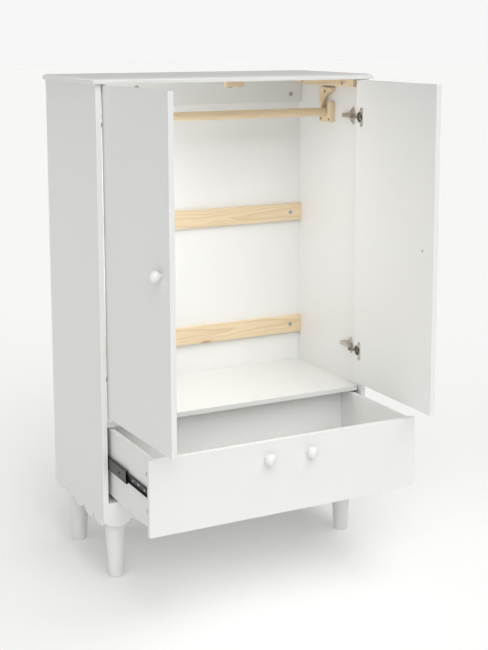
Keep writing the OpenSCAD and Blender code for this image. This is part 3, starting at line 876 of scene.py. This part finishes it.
class WARDROBE_OT_cam_locks(bpy.types.Operator):
    """Cam locks of the back boards and the drawer, and the cleats' barrel nuts"""

    bl_idname = "wardrobe.cam_locks"
    bl_label = "Cam locks"

    def execute(self, context):
        upright = [((0, -1, 0), box, 0) for box in solids("back_cams")]
        self.cams("back_cams", "carcass", upright)
        sides = [((-1 if box[0].x < 0 else 1, 0, 0), box, 20) for box in solids("drawer_cams")]
        self.cams("drawer_cams", "drawer", sides)
        nuts = Solid()
        for low, high in solids("cleat_dowels"):
            way = 1 if low.x < 0 else -1
            middle = (low + high) / 2
            face = high.x if way > 0 else low.x
            radius = (high.z - low.z) / 2
            placing = facing((way, 0, 0), (face, middle.y, middle.z))
            nuts.lathe([(0, -11), (radius, -11), (radius, -0.5), (radius - 0.5, 0.1),
                        (radius - 1.4, 0.2), (radius - 1.8, -0.1), (radius - 2.0, -1.6),
                        (0, -1.6)], placing, 40)
            inner = radius - 1.9
            nuts.plate(circle(inner, 32), [rectangle((-inner * 0.8, -0.9), (inner * 0.8, 0.9))],
                       -1.8, -0.1, placing)
        nuts.piece("cleat_dowels_steel", zinc(), "carcass", "zinc", "cleat_dowels")
        return {"FINISHED"}

    def cams(self, node, body, places):
        """Die-cast cams: a rimmed face, a cross recess, and a small pointer."""
        cast = Solid()
        for way, (low, high), roll in places:
            middle = (low + high) / 2
            axis = 0 if way[0] else 1
            middle[axis] = low[axis] if way[axis] < 0 else high[axis]
            radius = (high.z - low.z) / 2
            depth = high[axis] - low[axis]
            placing = facing(way, middle, roll)
            cast.lathe(
                [(0, -depth), (radius, -depth), (radius, -0.5), (radius - 0.35, 0.05),
                 (radius - 0.9, 0.1), (radius - 1.2, -0.35), (radius - 1.3, -2.2), (0, -2.2)],
                placing, 44,
            )
            face_r = radius - 1.25
            cast.plate(circle(face_r, 40), [cross(face_r * 0.74, 0.95)], -2.4, -0.35, placing)
            cast.plate([(face_r * 0.5, 1.6), (face_r * 0.86, 2.5), (face_r * 0.45, 3.3)], [],
                       -0.5, -0.05, placing)
        cast.piece(node + "_cast", zinc(), body, "zinc", node, arris=0.12 * MM)


class WARDROBE_OT_screws(bpy.types.Operator):
    """Screws of the door stop, the rail brackets and the hinges"""

    bl_idname = "wardrobe.screws"
    bl_label = "Screws"

    def execute(self, context):
        still = Matrix.Identity(4)
        stop = [((0, 0, -1), box) for box in solids("door_stop_screws")]
        self.drive("door_stop_screws", "carcass", stop, zinc(), "zinc", still)
        for node, material, slot in (("bracket_screws", dark_steel(), "bronzed_steel"),
                                     ("hinge_plate_screws", nickel(), "nickel")):
            inward = [((1 if box[0].x < 0 else -1, 0, 0), box) for box in solids(node)]
            self.drive(node, "carcass", inward, material, slot, still)
        outward = [((-1 if box[0].x < 0 else 1, 0, 0), box) for box in solids("slide_screws")]
        self.drive("slide_screws", "drawer", outward, zinc(), "zinc", still)
        for side, end in ((-1, "left"), (1, "right")):
            swing = door_swing(side)
            cup = [((0, 1, 0), box) for box in solids("cup_screws_" + end, swing)]
            self.drive("cup_screws_" + end, end + "_door", cup, nickel(), "nickel", swing)
        return {"FINISHED"}

    def drive(self, node, body, places, material, slot, swing):
        heads = Solid()
        for count, (way, (low, high)) in enumerate(places):
            axis = max(range(3), key=lambda k: abs(way[k]))
            size = high - low
            radius = max(size[k] for k in range(3) if k != axis) / 2
            height = radius * 0.46
            face = (low + high) / 2
            face[axis] = (high[axis] if way[axis] > 0 else low[axis]) - way[axis] * height
            heads.pan_head(radius, height, swing @ facing(way, face, 17 + 31 * count),
                           (radius * 0.5, size[axis] - height - 0.2))
        heads.piece(node + "_driven", material, body, slot, node)


class WARDROBE_OT_hinges(bpy.types.Operator):
    """Concealed hinges: winged plates, cranked arms, links and cups"""

    bl_idname = "wardrobe.hinges"
    bl_label = "Hinges"

    def execute(self, context):
        look = finish_values()
        self.plates()
        softened("hinge_arms", "hinge_arms_pressed", nickel(), "nickel", look.steel_arris,
                 rim=0.012, segments=2)
        self.arm_screws()
        for side, end in ((-1, "left"), (1, "right")):
            # painted shade: the links take the near-black steel, darker than the hinge's nickel, where they stand
            # in shade
            softened("hinge_links_" + end, f"hinge_links_{end}_pressed", dark_steel(),
                     "bronzed_steel", look.steel_arris, rim=0.012, segments=2)
            self.cups(side, end)
        return {"FINISHED"}

    def plates(self):
        pressed = Solid()
        # a straight front edge between two round tips, and a tail along the arm
        tip_r, tip_y, tip_z = 5.6, -6.4, 22.2
        wing = (circle(tip_r, 10, (tip_y, tip_z), 35, 145)
                + circle(tip_r, 10, (tip_y, -tip_z), 180, 145)
                + [(19, -8.6), (40, -7.4), (42, -6), (42, 6), (40, 7.4), (19, 8.6)])
        holes = [circle(2.05, 20, (0, z)) for z in (-16, 16)]
        for low, high in solids("hinge_plates"):
            side = -1 if low.x < 0 else 1
            middle = (low + high) / 2
            wall = abs(low.x if side < 0 else high.x)
            # the plate's own middle is the line of its two screws
            place = mirrored(side) @ axes(
                (0, 1, 0), (0, 0, 1), (1, 0, 0), (-wall, low.y + 12, middle.z)
            )
            pressed.plate(wing, holes, 0.0, 1.9, place)
            pressed.plate(rectangle((-11, -6.6), (40, 6.6), 2), [], 1.7, 3.0, place)
            pressed.plate(rectangle((-8, -4.3), (38, 4.3), 1.2),
                          [stadium(10, 4.6)], 2.8, 8.8, place)
            for z in (-16, 16):
                pressed.lathe([(2.1, 1.8), (4.6, 1.8), (4.9, 2.1), (4.6, 2.35), (2.1, 2.05)],
                              place @ Matrix.Translation((0, z, 0)), 24)
        pressed.piece("hinge_plates_pressed", nickel(), "carcass", "nickel", "hinge_plates",
                      arris=0.25 * MM)

    def arm_screws(self):
        """Adjusting screws on each arm, and the rivet that carries its link."""
        turned = Solid()
        for low, high in solids("hinge_arms"):
            side = -1 if low.x < 0 else 1
            wall = abs(low.x if side < 0 else high.x) + 3
            z = (low.z + high.z) / 2
            for y, radius, tall in ((62, 3.1, 1.5), (98, 3.4, 1.3)):
                face = 15 - (y - 60) * 2 / 52
                turned.pan_head(radius, tall, mirrored(side) @ facing(
                    (1, 0, 0), (-wall + face - 0.2, low.y + y - 17.2, z), 33), (1.6, 4.0))
            for end in (-1, 1):
                turned.lathe([(0, 0.7), (1.5, 0.6), (2.3, 0), (2.3, -0.3), (0, -0.3)],
                             mirrored(side) @ facing(
                                 (0, 0, end), (-wall + 30, low.y + 2.8, z + end * 6.2)), 20)
        turned.piece("hinge_arm_screws", nickel(), "carcass", "nickel")

    def cups(self, side, end):
        swing = door_swing(side)
        pressed, inside = Solid(), Solid()
        outer_r, mouth_r, notch = 17.5, 15.0, 19.0
        for low, high in solids("hinge_cups_" + end, swing):
            middle = (low + high) / 2
            # local x runs towards the door's free edge, local z out of the door's inner face
            place = swing @ axes(
                (1, 0, 0), (0, 0, -1), (0, 1, 0), (middle.x, low.y, middle.z)
            )
            deep = high.y - low.y
            board = deep - 1.2
            pressed.lathe(
                [(0, 0), (outer_r - 2.5, 0), (outer_r - 0.8, 0.7), (outer_r, 2.4),
                 (outer_r, board - 3), (mouth_r, board - 3), (mouth_r - 0.2, 4),
                 (mouth_r - 1.2, 2.1), (mouth_r - 3.5, 1.4), (0, 1.3)], place, 64,
            )
            ring = (circle(outer_r, 40, start=180 + notch, turn=360 - 2 * notch)
                    + circle(mouth_r, 40, start=180 - notch, turn=2 * notch - 360))
            pressed.plate(ring, [], board - 3.2, board, place)
            lip = (circle(outer_r + 0.7, 40, start=180 + notch, turn=360 - 2 * notch)
                   + circle(mouth_r - 0.2, 40, start=180 - notch, turn=2 * notch - 360))
            pressed.plate(lip, [], board, board + 0.8, place)
            for up in (-1, 1):
                wing = (circle(16.6, 9, start=80, turn=-72) + [(18.4, 12)]
                        + circle(7.8, 13, (10.6, 22.8), 0, 180) + [(2.9, 18)])
                wing = [(x, up * y) for x, y in wing]
                hole = [(x, up * y) for x, y in circle(2.05, 20, (10, 24))]
                pressed.plate(wing, [hole], board, board + 1.2, place)
            pressed.lathe([(0, -9), (1.2, -9), (1.2, 9), (0, 9)],
                          place @ axes((1, 0, 0), (0, 0, -1), (0, 1, 0), (-13.5, 0, 5.0)), 20)
            # painted shade: a near-black dish on the cup's floor darkens the cup's hollow, with the damper on it
            inside.lathe([(0, 1.5), (9.6, 1.6), (11.2, 2.0), (11.4, 2.9), (10.8, 2.9),
                          (9.5, 2.1), (0, 2.0)], place, 56)
            inside.block((-1.5, -7.0, 1.9), (7.5, 7.0, 3.4), place, 2.2)
        pressed.piece(f"hinge_cups_{end}_pressed", nickel(), end + "_door", "nickel",
                      "hinge_cups_" + end, arris=0.2 * MM)
        # the near-black dish is painted shade in the cup's hollow
        inside.piece(f"hinge_dampers_and_painted_shade_{end}", slide_steel(), end + "_door", "black_steel",
                     arris=0.5 * MM)


class WARDROBE_OT_slides(bpy.types.Operator):
    """Three-part ball slides, with their cages"""

    bl_idname = "wardrobe.slides"
    bl_label = "Drawer slides"

    def execute(self, context):
        for side, end in ((-1, "left"), (1, "right")):
            hand = mirrored(side)
            self.member("slide_outer_" + end, "carcass", hand, False,
                        [(40, 14), (110, 14), (230, 14), (312, 14)], 2.1)
            self.member("slide_middle_" + end, end + "_slide", hand, False,
                        [(50, 9), (280, 9)], 3.9)
            self.member("slide_inner_" + end, "drawer", hand, True, [(85, 16), (200, 24)], 3.2)
            self.cages(end, hand)
        return {"FINISHED"}

    def member(self, node, body, hand, web_outer, slots, half_slot):
        """A rolled channel: a pierced web with curled flanges."""
        low, high = solids(node, hand)[0]
        middle = (low.z + high.z) / 2
        half = (high.z - low.z) / 2
        thick, lip = 1.3, 2.4
        length = high.y - low.y
        # the web lies against the side panel, or against the drawer
        web = (high.x - thick, high.x) if web_outer else (low.x, low.x + thick)
        rolled = Solid()
        place = axes((0, 1, 0), (0, 0, 1), (1, 0, 0), (0, low.y, middle))
        holes = [[(x + at, y) for x, y in stadium(size, 2 * half_slot)] for at, size in slots]
        rolled.plate(rectangle((0, -half + 1), (length, half - 1)), holes, web[0], web[1],
                     hand @ place)
        across = axes((1, 0, 0), (0, 0, 1), (0, 1, 0), (0, low.y, middle))
        near, far = (web[1], low.x) if web_outer else (web[0], high.x)
        way = 1 if far > near else -1
        for up in (-1, 1):
            outline = [
                (near, half - 2.6), (near + way * 0.5, half - 0.7), (near + way * 2.2, half),
                (far - way * 1.6, half), (far, half - 1.2), (far, half - lip - 1),
                (far - way * 1.1, half - lip - 1), (far - way * 1.2, half - 1.9),
                (far - way * 2.2, half - thick), (near + way * 2.6, half - thick),
                (near + way * 1.4, half - 2.2), (near + way * 1.3, half - 2.8),
            ]
            rolled.plate([(x, up * z) for x, z in outline], [], 0.0, length, hand @ across)
        rolled.piece(node + "_rolled", slide_steel(), body, "black_steel", node, arris=0.18 * MM)

    def cages(self, end, hand):
        """Ball cages between the middle member and its two neighbours."""
        low, high = solids("slide_middle_" + end, hand)[0]
        middle = (low.z + high.z) / 2
        half = (high.z - low.z) / 2
        balls, cage = Solid(), Solid()
        x = (low.x + high.x) / 2
        for up in (-1, 1):
            for level, from_y, to_y in ((half + 1.3, 175.0, 330.0), (half - 3.2, 6.0, 165.0)):
                z = middle + up * level
                count = 11
                for k in range(count):
                    y = low.y + from_y + 8 + (to_y - from_y - 16) * k / (count - 1)
                    balls.ball(1.15, hand @ Vector((x, y, z)), 12)
                cage.block((x - 2.4, low.y + from_y, z - 0.35), (x + 2.4, low.y + to_y, z + 0.35),
                           hand, 1.0)
        body = end + "_slide"
        balls.piece(f"slide_balls_{end}", nickel(), body, "nickel")
        cage.piece(f"slide_cages_{end}", zinc(), body, "zinc", arris=0.1 * MM)


# ---------- the studio ----------

class WARDROBE_OT_studio(bpy.types.Operator):
    """Pale floor, soft lamps and the camera"""

    bl_idname = "wardrobe.studio"
    bl_label = "Studio"

    def execute(self, context):
        studio = context.scene.wardrobe_studio
        self.floor(studio)
        self.surroundings(context, studio)
        self.lamp("key_lamp", (-0.12, -0.74, 0.66), studio.key, studio.softness)
        self.lamp("side_lamp", (-0.84, -0.36, 0.42), studio.side, studio.softness)
        self.lamp("overhead_lamp", (0.22, -0.12, 1.0), studio.overhead, studio.softness)
        self.reflector(context, studio)
        self.camera(context, studio)
        context.scene.view_settings.view_transform = "Standard"
        return {"FINISHED"}

    def floor(self, studio):
        half = 60.0
        shape = bmesh.new()
        corners = [(-half, -half), (half, -half), (half, half), (-half, half)]
        shape.faces.new([shape.verts.new((x, y, CAD_LOW.z - 0.0002)) for x, y in corners])
        mesh = bpy.data.meshes.new("studio_floor")
        shape.to_mesh(mesh)
        shape.free()
        floor = bpy.data.objects.new("studio_floor", mesh)
        bpy.context.scene.collection.objects.link(floor)
        paint = Finish("studio_paint", Roughness=1.0)
        paint.shader.inputs["Specular IOR Level"].default_value = 0.0
        paint.shader.inputs["Emission Color"].default_value = (1.0, 1.0, 0.985, 1.0)
        paint.shader.inputs["Emission Strength"].default_value = studio.glow
        cloud = paint.noise(1.7, 2.0)
        paint.feed("Base Color", paint.blend(
            cloud, shaded(studio.floor, 0.998), shaded(studio.floor, 1.002)
        ))
        mesh.materials.append(paint.material)

    def surroundings(self, context, studio):
        """An even glow all round; the backdrop behind the wardrobe is its own brightness."""
        world = bpy.data.worlds.new("studio_air")
        world.use_nodes = True
        context.scene.world = world
        tree = world.node_tree
        glow = tree.nodes["Background"]
        glow.inputs["Color"].default_value = (1.0, 1.0, 0.99, 1.0)
        glow.inputs["Strength"].default_value = studio.ambient
        screen = tree.nodes.new("ShaderNodeBackground")
        screen.inputs["Color"].default_value = (1.0, 1.0, 1.0, 1.0)
        screen.inputs["Strength"].default_value = studio.backdrop
        ray = tree.nodes.new("ShaderNodeLightPath")
        either = tree.nodes.new("ShaderNodeMixShader")
        tree.links.new(ray.outputs["Is Camera Ray"], either.inputs[0])
        tree.links.new(glow.outputs[0], either.inputs[1])
        tree.links.new(screen.outputs[0], either.inputs[2])
        tree.links.new(either.outputs[0], tree.nodes["World Output"].inputs["Surface"])

    def lamp(self, name, way, strength, softness):
        light = bpy.data.lights.new(name, "SUN")
        light.energy, light.angle = strength, softness
        lamp = bpy.data.objects.new(name, light)
        lamp.rotation_mode = "QUATERNION"
        lamp.rotation_quaternion = Vector(way).to_track_quat("Z", "Y")
        lamp.location = Vector(way) * 6
        bpy.context.scene.collection.objects.link(lamp)

    def reflector(self, context, studio):
        """A card at the left of the hanging space that turns light on to its other walls."""
        low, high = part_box("back_panel")
        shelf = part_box("floor_shelf")[1]
        card = bpy.data.lights.new("reflector_card", "AREA")
        card.shape = "RECTANGLE"
        card.size, card.size_y = low.y * 0.8, (high.z - shelf.z) * 0.66
        card.energy = studio.reflector
        lamp = bpy.data.objects.new("reflector_card", card)
        lamp.location = (low.x + 0.03, low.y * 0.5, shelf.z + (high.z - shelf.z) * 0.58)
        lamp.rotation_euler = (math.pi / 2, 0.0, -math.pi / 2)
        lamp.visible_camera = lamp.visible_glossy = False
        context.scene.collection.objects.link(lamp)

    def camera(self, context, studio):
        lens = bpy.data.cameras.new("studio_camera")
        lens.lens, lens.sensor_width, lens.sensor_fit = studio.lens, 36.0, "AUTO"
        lens.shift_x, lens.shift_y = studio.shift
        lens.dof.use_dof = False
        camera = bpy.data.objects.new("studio_camera", lens)
        camera.location = studio.stand
        camera.rotation_euler = (math.pi / 2 - studio.tilt, 0.0, -studio.turn)
        context.scene.collection.objects.link(camera)
        context.scene.camera = camera


class WARDROBE_PT_sidebar(bpy.types.Panel):
    """Sizes, colours and pieces of the wardrobe"""

    bl_idname = "WARDROBE_PT_sidebar"
    bl_label = "Wardrobe"
    bl_space_type = "VIEW_3D"
    bl_region_type = "UI"
    bl_category = "Wardrobe"

    def draw(self, context):
        for title, group in (("Finishes", context.scene.wardrobe_finish),
                             ("Studio", context.scene.wardrobe_studio)):
            box = self.layout.box()
            box.label(text=title)
            for name in group.__annotations__:
                box.prop(group, name)
        pieces = self.layout.box()
        pieces.label(text="Pieces")
        for step in STEPS:
            pieces.operator(step.bl_idname)


STEPS = (
    WARDROBE_OT_boards, WARDROBE_OT_back_panel, WARDROBE_OT_pine, WARDROBE_OT_doors,
    WARDROBE_OT_drawer, WARDROBE_OT_legs, WARDROBE_OT_knobs, WARDROBE_OT_cam_locks,
    WARDROBE_OT_screws, WARDROBE_OT_hinges, WARDROBE_OT_slides, WARDROBE_OT_studio,
)
CLASSES = (WardrobeFinish, WardrobeStudio, *STEPS, WARDROBE_PT_sidebar)


def register():
    for item in CLASSES:
        bpy.utils.register_class(item)
    bpy.types.Scene.wardrobe_finish = PointerProperty(type=WardrobeFinish)
    bpy.types.Scene.wardrobe_studio = PointerProperty(type=WardrobeStudio)


def unregister():
    del bpy.types.Scene.wardrobe_studio
    del bpy.types.Scene.wardrobe_finish
    for item in reversed(CLASSES):
        bpy.utils.unregister_class(item)


def main():
    register()
    for step in STEPS:
        group, name = step.bl_idname.split(".")
        getattr(getattr(bpy.ops, group), name)()


if __name__ == "__main__":
    main()
